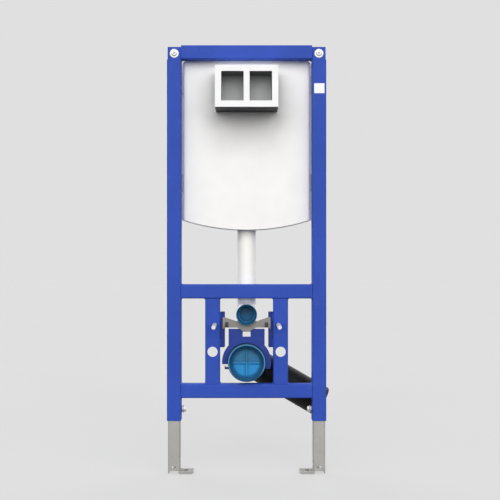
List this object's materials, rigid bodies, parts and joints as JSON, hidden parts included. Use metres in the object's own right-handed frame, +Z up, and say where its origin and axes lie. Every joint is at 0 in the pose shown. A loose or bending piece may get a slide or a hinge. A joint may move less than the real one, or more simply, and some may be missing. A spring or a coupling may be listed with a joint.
{
  "type": "wall hung toilet frame",
  "caption": "Welded tube frame with concealed cistern, access box, flush pipe, swivelling drain bend, bowl studs and telescopic legs.",
  "frame": {"origin": "middle of the back face of the left wall plate, which is screwed to the wall", "axes": "+X to the right seen from the front, +Y into the wall, +Z up"},
  "size_m": [0.4666, 0.235, 1.226],
  "materials": {
    "frame_paint": "smooth blue powder coat",
    "zinc": "dull zinc plating",
    "cistern_plastic": "satin white",
    "white_plastic": "white, half gloss",
    "cover_plastic": "light grey, matt",
    "teal_plastic": "translucent blue-green protective plug",
    "grey_plastic": "warm grey, matt",
    "dark_plastic": "dark grey, matt",
    "black_plastic": "black pipe plastic, satin",
    "brass": "plain brass",
    "label": "bare white label"
  },
  "bodies": {
    "frame": {"upright_left": "frame_paint", "upright_right": "frame_paint", "top_rail": "frame_paint", "middle_rail": "frame_paint", "bottom_rail": "frame_paint", "inner_post_left": "frame_paint", "inner_post_right": "frame_paint", "corner_bracket_left": "frame_paint", "corner_bracket_right": "frame_paint", "wall_plug_left": "white_plastic", "wall_plug_right": "white_plastic", "wall_rod_left": "zinc", "wall_rod_right": "zinc", "wall_plate_left": "zinc", "wall_plate_right": "zinc", "clamp_screw_left": "zinc", "clamp_screw_right": "zinc", "cistern_tank": "cistern_plastic", "access_box": "white_plastic", "access_cover": "cover_plastic", "tank_clips_left": "zinc", "tank_clips_right": "zinc", "water_inlet": "brass", "flush_pipe": "white_plastic", "flush_elbow": "white_plastic", "flush_plug": "teal_plastic", "flush_saddle": "grey_plastic", "saddle_clip_left": "dark_plastic", "saddle_clip_right": "dark_plastic", "side_rail_left": "frame_paint", "side_rail_right": "frame_paint", "bowl_stud_left": "zinc", "bowl_stud_right": "zinc", "stud_nut_left": "zinc", "stud_nut_right": "zinc", "drain_clamp": "frame_paint", "clamp_strap": "frame_paint", "label_blank": "label"},
    "leg_left": {"leg_left": "zinc", "foot_plate_left": "zinc"},
    "leg_right": {"leg_right": "zinc", "foot_plate_right": "zinc"},
    "drain": {"drain_bend": "black_plastic", "drain_plug": "teal_plastic"}
  },
  "joints": [
    {"name": "leg_left_slide", "type": "slide", "parent": "frame", "child": "leg_left", "axis": [0, 0, -1], "range_m": [-0.09, 0.11]},
    {"name": "leg_right_slide", "type": "slide", "parent": "frame", "child": "leg_right", "axis": [0, 0, -1], "range_m": [-0.09, 0.11]},
    {"name": "drain_swivel", "type": "hinge", "parent": "frame", "child": "drain", "pos_m": [0.204, -0.053, -0.871], "axis": [0, -1, 0], "range_deg": [-150, 30]}
  ]
}
